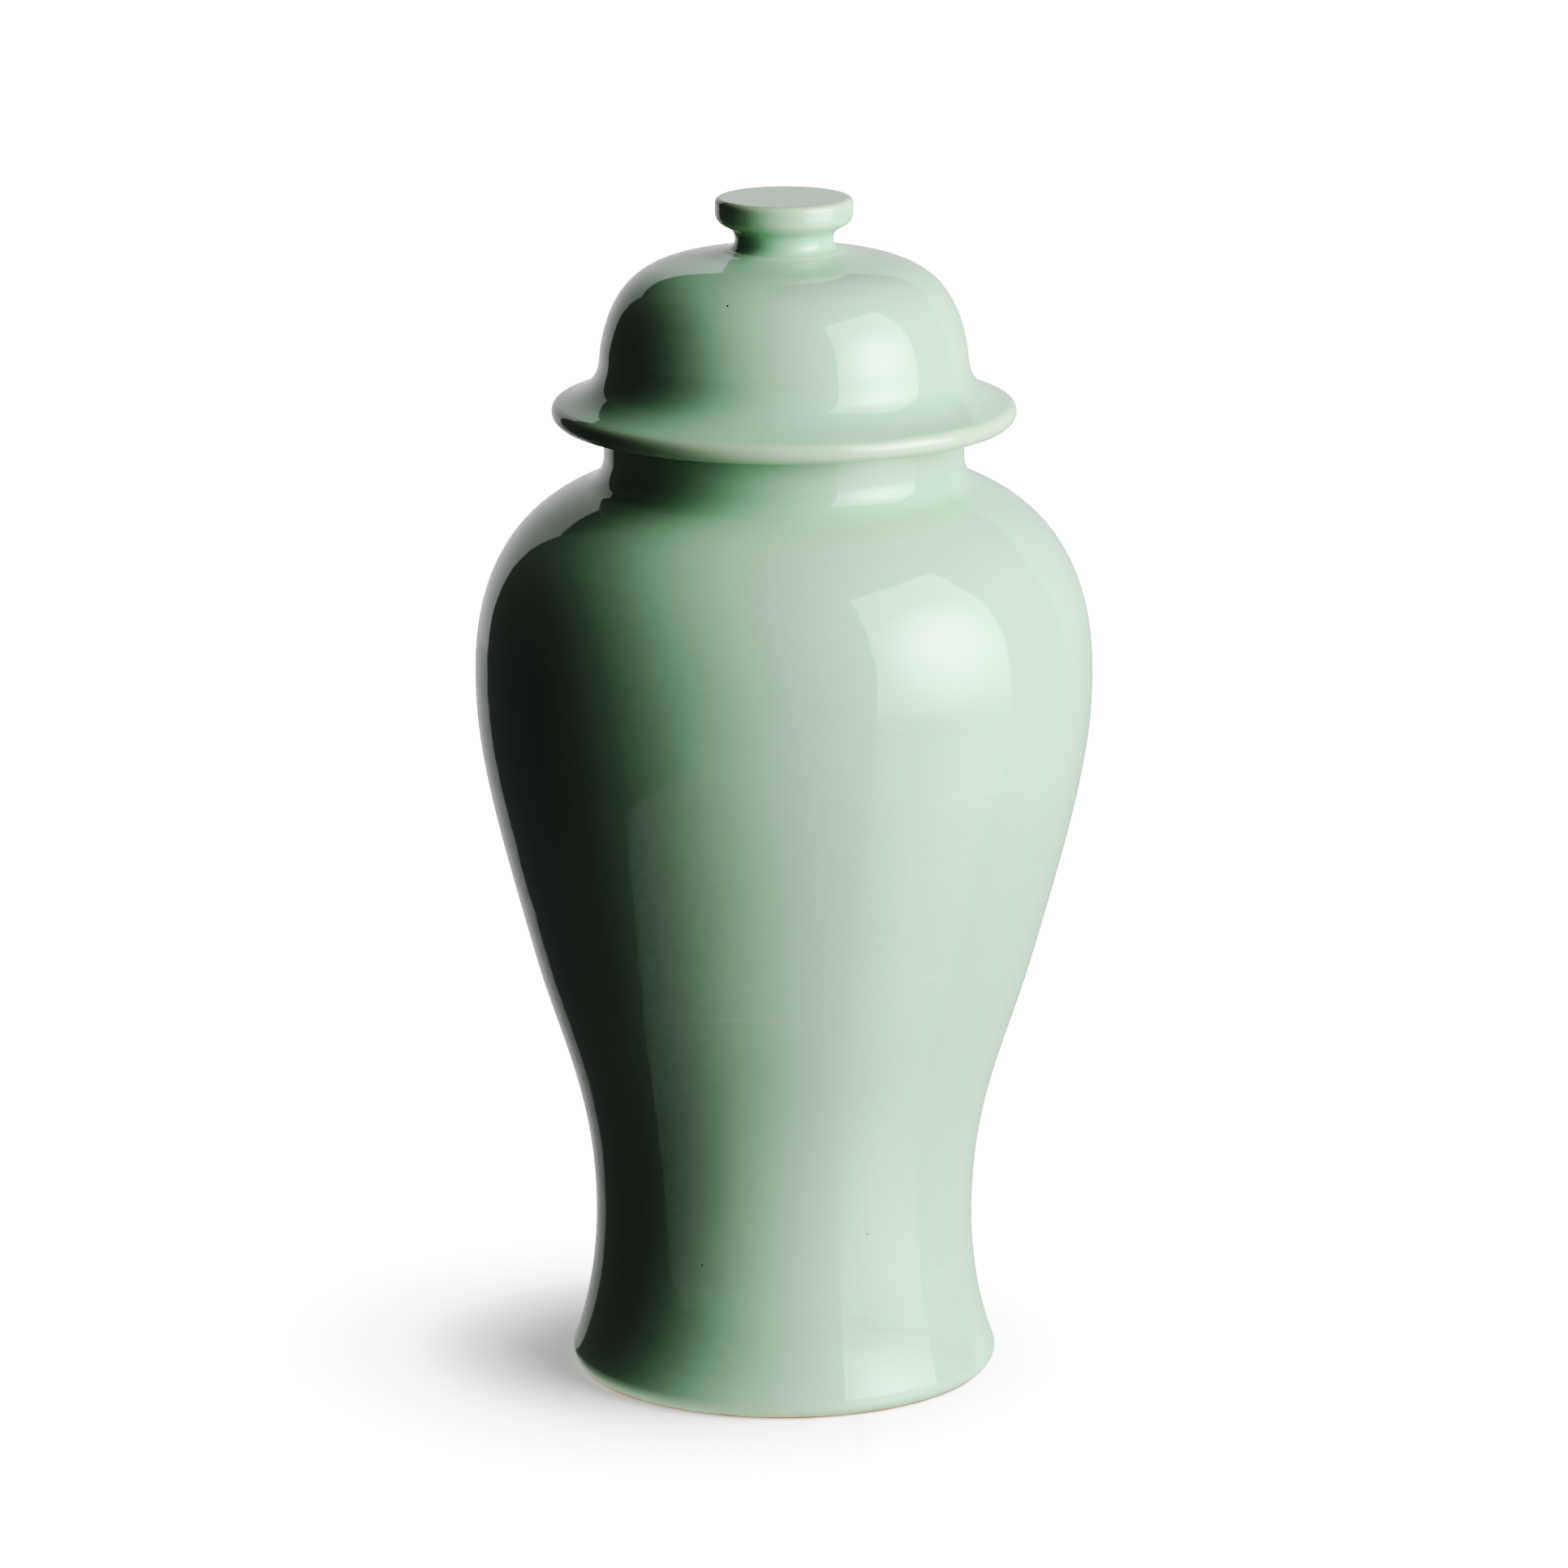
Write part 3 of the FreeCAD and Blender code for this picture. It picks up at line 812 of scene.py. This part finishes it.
def celadon():
    """Glossy celadon over clay: milky body, glassy skin, pale edges, green hollows, bare foot."""
    ready = bpy.data.materials.get("celadon_on_clay")
    if ready:
        return ready
    look = bpy.context.scene.glaze_look
    material, tree, shader = new_material("celadon_on_clay")
    place = place_of(tree)
    roundness = tree.nodes.new("ShaderNodeAttribute")
    roundness.attribute_name = "glaze_roundness"
    edge = tree.nodes.new("ShaderNodeAttribute")
    edge.attribute_name = "glaze_edge"

    depth = put_group(
        tree, group_named("glaze_depth", glaze_depth_group),
        Place=place, Roundness=roundness.outputs["Fac"],
    )
    specks = put_group(
        tree, group_named("kiln_specks", specks_group),
        Place=place, Cells_per_metre=95.0, Share=0.05, Size=0.045,
    )
    pinholes = put_group(
        tree, group_named("kiln_specks", specks_group),
        Place=place, Cells_per_metre=120.0, Share=0.045, Size=0.045,
    )
    clay = put_group(
        tree, group_named("fired_clay", clay_group),
        Place=place, Clay=(*look.clay, 1.0), Toasted=(*look.clay_toasted, 1.0), Toast=0.9,
    )

    # The glaze stops in a slightly ragged line, a little thicker and greener just above it.
    ragged = calc(tree, "MULTIPLY_ADD", noise(tree, place, 110.0, 2.0), 1.6 * MM, -0.8 * MM)
    glazed_by = calc(tree, "ADD", edge.outputs["Fac"], ragged)
    bare = calc(tree, "SUBTRACT", 1.0, ramp(tree, glazed_by, -0.1 * MM, 0.25 * MM))
    bead = calc(
        tree, "MULTIPLY",
        ramp(tree, glazed_by, 0.0, 0.6 * MM),
        calc(tree, "SUBTRACT", 1.0, ramp(tree, glazed_by, 1.2 * MM, 3.5 * MM)),
    )
    pooled = calc(tree, "MAXIMUM", depth.outputs["Pooled"], calc(tree, "MULTIPLY", bead, 0.8))

    colour_socket = blend(tree, pooled, look.body, look.pooled)
    thinned = calc(tree, "MULTIPLY", depth.outputs["Thin"], calc(tree, "SUBTRACT", 1.0, bead))
    colour_socket = blend(tree, thinned, colour_socket, look.thin)
    shade = calc(tree, "MULTIPLY_ADD", depth.outputs["Mottle"], 0.16, 0.92)
    colour_socket = blend(tree, 1.0, colour_socket, shade, "MULTIPLY")
    wisps = calc(tree, "MULTIPLY", depth.outputs["Wisps"], 0.12)
    colour_socket = blend(tree, wisps, colour_socket, look.pinhole)
    colour_socket = blend(tree, pinholes.outputs["Mask"], colour_socket, look.pinhole)
    colour_socket = blend(tree, specks.outputs["Mask"], colour_socket, look.speck)
    colour_socket = blend(tree, bare, colour_socket, clay.outputs["Color"])
    tree.links.new(colour_socket, shader.inputs["Base Color"])

    glazed = calc(tree, "SUBTRACT", 1.0, bare)
    tree.links.new(glazed, shader.inputs["Coat Weight"])
    tree.links.new(
        calc(tree, "MULTIPLY_ADD", bare, 0.4, look.depth), shader.inputs["Roughness"]
    )
    shader.inputs["Coat Roughness"].default_value = look.gloss
    shader.inputs["Coat IOR"].default_value = 1.52
    shader.inputs["Specular IOR Level"].default_value = 0.0

    skin = glaze_skin(tree, place)
    marks = calc(tree, "MAXIMUM", specks.outputs["Mask"], pinholes.outputs["Mask"])
    pits = calc(tree, "MULTIPLY_ADD", marks, -0.25, skin)
    grain = calc(tree, "MULTIPLY", clay.outputs["Height"], calc(tree, "MULTIPLY", bare, 0.5))
    step = calc(tree, "MULTIPLY_ADD", bare, -0.5, calc(tree, "ADD", pits, grain))
    tree.links.new(bumped(tree, step, GLAZE_RELIEF), shader.inputs["Normal"])
    tree.links.new(bumped(tree, skin, GLAZE_RELIEF), shader.inputs["Coat Normal"])
    return material


def bare_clay():
    """Unglazed fired clay, sandy and matt, with a few iron specks."""
    look = bpy.context.scene.glaze_look
    material, tree, shader = new_material("bare_clay")
    place = place_of(tree)
    clay = put_group(
        tree, group_named("fired_clay", clay_group),
        Place=place, Clay=(*look.clay, 1.0), Toasted=(*look.clay_toasted, 1.0), Toast=0.45,
    )
    specks = put_group(
        tree, group_named("kiln_specks", specks_group),
        Place=place, Cells_per_metre=240.0, Share=0.12, Size=0.12,
    )
    shade = blend(tree, specks.outputs["Mask"], clay.outputs["Color"], look.speck)
    tree.links.new(shade, shader.inputs["Base Color"])
    tree.links.new(
        calc(tree, "MULTIPLY_ADD", clay.outputs["Height"], 0.2, 0.72), shader.inputs["Roughness"]
    )
    tree.links.new(bumped(tree, clay.outputs["Height"], CLAY_RELIEF), shader.inputs["Normal"])
    return material


# ---- Pieces -------------------------------------------------------------------------------


def never(place):
    """For a piece with no bare clay to mark off."""
    return False


def always(place):
    """For a piece that is a fit all over."""
    return True


class JAR_OT_body(bpy.types.Operator):
    """Turn the jar's wall, from its foot to its mouth"""

    bl_idname = "ginger_jar.body"
    bl_label = "Jar body"

    def execute(self, context):
        sizes = context.scene.jar_sizes
        mouth = JAR_HIGH.z
        bore = FLOOR_HIGH.x

        def is_bare(place):
            on_foot = place.z < sizes.foot_glaze_line and place.x > bore + 0.5 * sizes.bore_round
            return on_foot or place.z > mouth - sizes.mouth_wipe

        def is_fitted(place):
            radius = math.hypot(place.x, place.y)
            in_bore = place.z < FLOOR_HIGH.z + MM and radius < bore + sizes.bore_round + MM
            return place.z > mouth - sizes.mouth_round or place.z < MM or in_bore

        piece = turn_piece("jar_body_glazed", jar_body_outline(sizes), True, is_bare, is_fitted)
        give(piece, celadon(), "jar", "celadon_glaze", "jar_body")
        return {"FINISHED"}


class JAR_OT_floor(bpy.types.Operator):
    """Turn the jar's floor"""

    bl_idname = "ginger_jar.floor"
    bl_label = "Jar floor"

    def execute(self, context):
        piece = turn_piece("jar_floor_glazed", jar_floor_outline(), False, never, always)
        give(piece, celadon(), "jar", "celadon_glaze", "jar_floor")
        return {"FINISHED"}


class LID_OT_dome(bpy.types.Operator):
    """Turn the lid's brim and dome"""

    bl_idname = "ginger_jar.dome"
    bl_label = "Lid dome"

    def execute(self, context):
        sizes = context.scene.lid_sizes
        seat = LID_LOW.z
        bare_radius = RING_HIGH.x + sizes.seat_width

        def is_bare(place):
            return place.z < seat + 0.5 * MM and place.x < bare_radius

        def is_fitted(place):
            radius = math.hypot(place.x, place.y)
            on_crown = place.z > LID_HIGH.z - MM and radius < sizes.knob_base + 2 * MM
            return place.z < seat + 0.5 * MM or on_crown

        piece = turn_piece("lid_dome_glazed", lid_dome_outline(sizes), False, is_bare, is_fitted)
        give(piece, celadon(), "lid", "celadon_glaze", "lid_dome")
        return {"FINISHED"}


class LID_OT_ring(bpy.types.Operator):
    """Turn the ring that keeps the lid centred in the mouth"""

    bl_idname = "ginger_jar.ring"
    bl_label = "Lid locating ring"

    def execute(self, context):
        sizes = context.scene.lid_sizes

        def is_fitted(place):
            return place.z > RING_HIGH.z - MM

        piece = turn_piece("lid_locating_ring_bare", lid_ring_outline(sizes), True, never, is_fitted)
        give(piece, bare_clay(), "lid", "raw_clay", "lid_locating_ring")
        return {"FINISHED"}


class LID_OT_knob(bpy.types.Operator):
    """Turn the button knob"""

    bl_idname = "ginger_jar.knob"
    bl_label = "Lid knob"

    def execute(self, context):
        sizes = context.scene.lid_sizes

        def is_fitted(place):
            return place.z < KNOB_LOW.z + MM

        piece = turn_piece("lid_knob_glazed", lid_knob_outline(sizes), False, never, is_fitted)
        give(piece, celadon(), "lid", "celadon_glaze", "lid_knob")
        return {"FINISHED"}


# ---- Studio -------------------------------------------------------------------------------


def set_camera(plan):
    """The camera before the jar, looking a little down on it."""
    bpy.ops.object.camera_add(
        location=(0.0, -plan.camera_distance, plan.camera_height),
        rotation=(math.pi / 2 - plan.camera_tilt, 0.0, 0.0),
    )
    camera = bpy.context.object
    camera.name = "studio_camera"
    camera.data.lens = plan.lens
    camera.data.clip_end = CAMERA_REACH
    bpy.context.scene.camera = camera


def table_material(plan):
    """A white table that glows more away from the jar, dimmest round a point left of it: a painted
    shadow of the jar, on top of the shadow it really casts. Where the jar mirrors it, it is
    polished, darker in colour and has a painted sheen.
    """
    material, tree, shader = new_material("studio_table")
    seen = tree.nodes.new("ShaderNodeLightPath").outputs["Is Camera Ray"]
    mirrored = calc(tree, "SUBTRACT", 1.0, seen)
    # Painted shadow: the glow the camera sees dims round a point left of the jar, deepening the
    # jar's real shadow on the table.
    reach = tree.nodes.new("ShaderNodeVectorMath")
    reach.operation = "DISTANCE"
    tree.links.new(place_of(tree), reach.inputs[0])
    reach.inputs[1].default_value = (-plan.painted_shadow_aside, 0.0, 0.0)
    away = ramp(tree, reach.outputs["Value"], plan.painted_shadow_start, plan.painted_shadow_end)
    own = calc(tree, "MULTIPLY_ADD", away, TABLE_WHITE - plan.painted_shadow_glow, plan.painted_shadow_glow)
    own = calc(tree, "MULTIPLY", seen, own)
    # Painted sheen: as mirrored, the table shows a glow of its own instead of the glow the camera
    # sees.
    light = calc(tree, "MULTIPLY_ADD", mirrored, plan.painted_table_sheen, own)
    tree.links.new(light, shader.inputs["Emission Strength"])
    shader.inputs["Emission Color"].default_value = (1.0, 0.99, 0.99, 1.0)
    # As mirrored, the table's colour is darker than as seen: a painted shade on its reflection.
    top = blend(tree, seen, (0.6, 0.6, 0.6), (0.8, 0.79, 0.79))
    tree.links.new(top, shader.inputs["Base Color"])
    tree.links.new(calc(tree, "MULTIPLY", mirrored, 0.15), shader.inputs["Metallic"])
    tree.links.new(calc(tree, "MULTIPLY", mirrored, 0.5), shader.inputs["Specular IOR Level"])
    shader.inputs["Roughness"].default_value = 0.05
    return material


def set_table(plan):
    """The table that the jar stands on."""
    bpy.ops.mesh.primitive_plane_add(size=plan.table_size, location=(0.0, 0.0, 0.0))
    table = bpy.context.object
    table.name = "studio_table"
    table.data.materials.append(table_material(plan))
    table.visible_diffuse = False


def glowing(name, strength):
    """A material that only glows, its nodes, its glow and its output."""
    material = bpy.data.materials.new(name)
    material.use_nodes = True
    tree = material.node_tree
    tree.nodes.clear()
    output = tree.nodes.new("ShaderNodeOutputMaterial")
    emission = tree.nodes.new("ShaderNodeEmission")
    emission.inputs["Strength"].default_value = strength
    tree.links.new(emission.outputs["Emission"], output.inputs["Surface"])
    return material, tree, emission, output


def even_sheet(name, strength):
    """A sheet that glows evenly. However dim it is, its light is looked for as a lamp's is."""
    material = glowing(name, strength)[0]
    material.cycles.emission_sampling = "FRONT_BACK"
    return material


def softbox_cloth(plan, lamp, low_edge):
    """The softbox's cloth: brighter in a round patch at its lamp, dimmer along its lower edge."""
    material, tree, emission, _ = glowing("softbox_cloth", plan.key_glow)
    place = place_of(tree)
    span = tree.nodes.new("ShaderNodeVectorMath")
    span.operation = "DISTANCE"
    tree.links.new(place, span.inputs[0])
    span.inputs[1].default_value = lamp
    fall = calc(tree, "SUBTRACT", 1.0, ramp(tree, span.outputs["Value"], 0.0, plan.key_centre_size))
    light = calc(tree, "MULTIPLY_ADD", fall, plan.key_centre_glow, plan.key_glow)
    parts = tree.nodes.new("ShaderNodeSeparateXYZ")
    tree.links.new(place, parts.inputs[0])
    rise = ramp(tree, parts.outputs["Y"], low_edge, low_edge + plan.key_fade)
    light = calc(tree, "MULTIPLY", light, calc(tree, "MULTIPLY_ADD", rise, 0.65, 0.35))
    tree.links.new(light, emission.inputs["Strength"])
    return material


def lit_upwards(name, strength):
    """A sheet that glows upwards only. From below it is clear."""
    material, tree, emission, output = glowing(name, strength)
    clear = tree.nodes.new("ShaderNodeBsdfTransparent")
    facing = tree.nodes.new("ShaderNodeNewGeometry")
    sides = tree.nodes.new("ShaderNodeMixShader")
    tree.links.new(facing.outputs["Backfacing"], sides.inputs["Fac"])
    tree.links.new(emission.outputs["Emission"], sides.inputs[1])
    tree.links.new(clear.outputs["BSDF"], sides.inputs[2])
    tree.links.new(sides.outputs["Shader"], output.inputs["Surface"])
    return material


def put_sheet(name, middle, width, height, rotation, material):
    """A flat sheet of the studio, out of the camera's sight."""
    bpy.ops.mesh.primitive_plane_add(size=1.0, location=middle, rotation=rotation)
    sheet = bpy.context.object
    sheet.name = name
    sheet.scale = (width, height, 1.0)
    bpy.ops.object.transform_apply(location=False, rotation=False, scale=True)
    sheet.data.materials.append(material)
    sheet.visible_camera = False
    return sheet


def set_softbox(plan):
    """The tall soft light at the right, brightest where its lamp stands."""
    height = plan.key_top - plan.key_bottom
    middle = Vector((
        math.sin(plan.key_bearing) * plan.key_distance,
        -math.cos(plan.key_bearing) * plan.key_distance,
        plan.key_bottom + height / 2,
    ))
    lamp = (0.0, plan.key_lamp - middle.z, 0.0)
    cloth = softbox_cloth(plan, lamp, -height / 2)
    turned = (UPRIGHT, 0.0, plan.key_bearing)
    put_sheet("studio_softbox", middle, plan.key_width, height, turned, cloth)


def set_backdrop(plan):
    """The pale wall behind, seen only as the glaze mirrors it."""
    wall = put_sheet(
        "studio_backdrop", plan.backdrop_spot, plan.backdrop_width, plan.backdrop_height,
        (UPRIGHT, 0.0, 0.0), even_sheet("backdrop_paper", plan.backdrop_glow),
    )
    wall.visible_shadow = False


def set_dark_side(plan):
    """A black card at the left, and a black cloth on the table that is a painted shadow of the jar,
    keep the jar's shadow side deep, as mirrored. Both glow dimly, a painted light.
    """
    # Card and cloth glow dimly: a painted light, seen only in the glaze.
    black = even_sheet("black_card_and_shadow_cloth", plan.painted_dark_glow)
    card = put_sheet(
        "studio_dark_card", plan.card_spot, plan.card_width, plan.card_height,
        (UPRIGHT, 0.0, math.pi / 2), black,
    )
    # The black cloth is a painted shadow: it lies where the jar's shadow falls on the table, so that
    # the glaze mirrors a dark table there.
    cloth = put_sheet(
        "studio_painted_shadow_cloth", plan.shadow_cloth_spot, plan.shadow_cloth_width, plan.shadow_cloth_length,
        (0.0, 0.0, plan.shadow_cloth_turn), black,
    )
    for sheet in (card, cloth):
        sheet.visible_diffuse = False
        sheet.visible_shadow = False


def set_bounce(plan):
    """Light thrown up by a white card before the jar and by the table close round its foot."""
    card = put_sheet(
        "studio_bounce_card", plan.bounce_spot, plan.bounce_width, plan.bounce_length,
        FLAT, even_sheet("card_white", plan.bounce_glow),
    )
    bpy.ops.mesh.primitive_circle_add(
        vertices=64, radius=plan.foot_light_radius, fill_type="NGON", location=plan.foot_light_spot
    )
    ring = bpy.context.object
    ring.name = "studio_foot_light"
    ring.data.materials.append(lit_upwards("foot_light", plan.foot_light_glow))
    ring.visible_camera = False
    for sheet in (card, ring):
        sheet.visible_glossy = False
        sheet.visible_shadow = False


def set_room(plan):
    """A little light from all sides."""
    world = bpy.data.worlds.new("studio_room")
    world.use_nodes = True
    background = world.node_tree.nodes["Background"]
    background.inputs["Color"].default_value = (1.0, 1.0, 1.0, 1.0)
    background.inputs["Strength"].default_value = plan.room_glow
    bpy.context.scene.world = world


def set_film():
    """A print film's response: deep shadows, bright middle tones and a long shoulder."""
    view = bpy.context.scene.view_settings
    view.view_transform = "Standard"
    view.use_curve_mapping = True
    view.curve_mapping.white_level = (FILM_WHITE, FILM_WHITE, FILM_WHITE)
    response = view.curve_mapping.curves[3]
    shadows = ((0.03, 0.018), (0.06, 0.064), (0.09, 0.125), (0.13, 0.228))
    middles = ((0.18, 0.335), (0.25, 0.437), (0.36, 0.552), (0.53, 0.685))
    highlights = ((0.75, 0.81), (0.90, 0.88), (1.12, 0.93))
    for light, tone in (*shadows, *middles, *highlights):
        response.points.new(light / FILM_WHITE, tone)
    view.curve_mapping.update()


class STUDIO_OT_stage(bpy.types.Operator):
    """Set up the camera, the table, the lights and the film"""

    bl_idname = "ginger_jar.stage"
    bl_label = "Studio"

    def execute(self, context):
        plan = context.scene.studio_plan
        set_camera(plan)
        set_table(plan)
        set_softbox(plan)
        set_backdrop(plan)
        set_dark_side(plan)
        set_bounce(plan)
        set_room(plan)
        set_film()
        return {"FINISHED"}


# ---- Add-on -------------------------------------------------------------------------------

OPERATORS = (JAR_OT_body, JAR_OT_floor, LID_OT_dome, LID_OT_ring, LID_OT_knob, STUDIO_OT_stage)
SETTINGS = {
    "jar_sizes": JarSizes,
    "lid_sizes": LidSizes,
    "glaze_look": GlazeLook,
    "turning_plan": TurningPlan,
    "studio_plan": StudioPlan,
}


class VIEW3D_PT_ginger_jar(bpy.types.Panel):
    """Lists the steps that make the jar, in order, and their settings"""

    bl_idname = "VIEW3D_PT_ginger_jar"
    bl_label = "Ginger Jar"
    bl_space_type = "VIEW_3D"
    bl_region_type = "UI"
    bl_category = "Ginger Jar"

    def draw(self, context):
        for operator in OPERATORS:
            self.layout.operator(operator.bl_idname)
        for name, kind in SETTINGS.items():
            box = self.layout.box()
            box.label(text=name.replace("_", " ").capitalize())
            for setting in kind.__annotations__:
                box.prop(getattr(context.scene, name), setting)


def register():
    for kind in (*SETTINGS.values(), *OPERATORS, VIEW3D_PT_ginger_jar):
        bpy.utils.register_class(kind)
    for name, kind in SETTINGS.items():
        setattr(bpy.types.Scene, name, PointerProperty(type=kind))


def unregister():
    for name in SETTINGS:
        delattr(bpy.types.Scene, name)
    for kind in reversed((*SETTINGS.values(), *OPERATORS, VIEW3D_PT_ginger_jar)):
        bpy.utils.unregister_class(kind)


def main():
    register()
    bpy.ops.ginger_jar.stage()
    bpy.ops.ginger_jar.body()
    bpy.ops.ginger_jar.floor()
    bpy.ops.ginger_jar.dome()
    bpy.ops.ginger_jar.ring()
    bpy.ops.ginger_jar.knob()


if __name__ == "__main__":
    main()
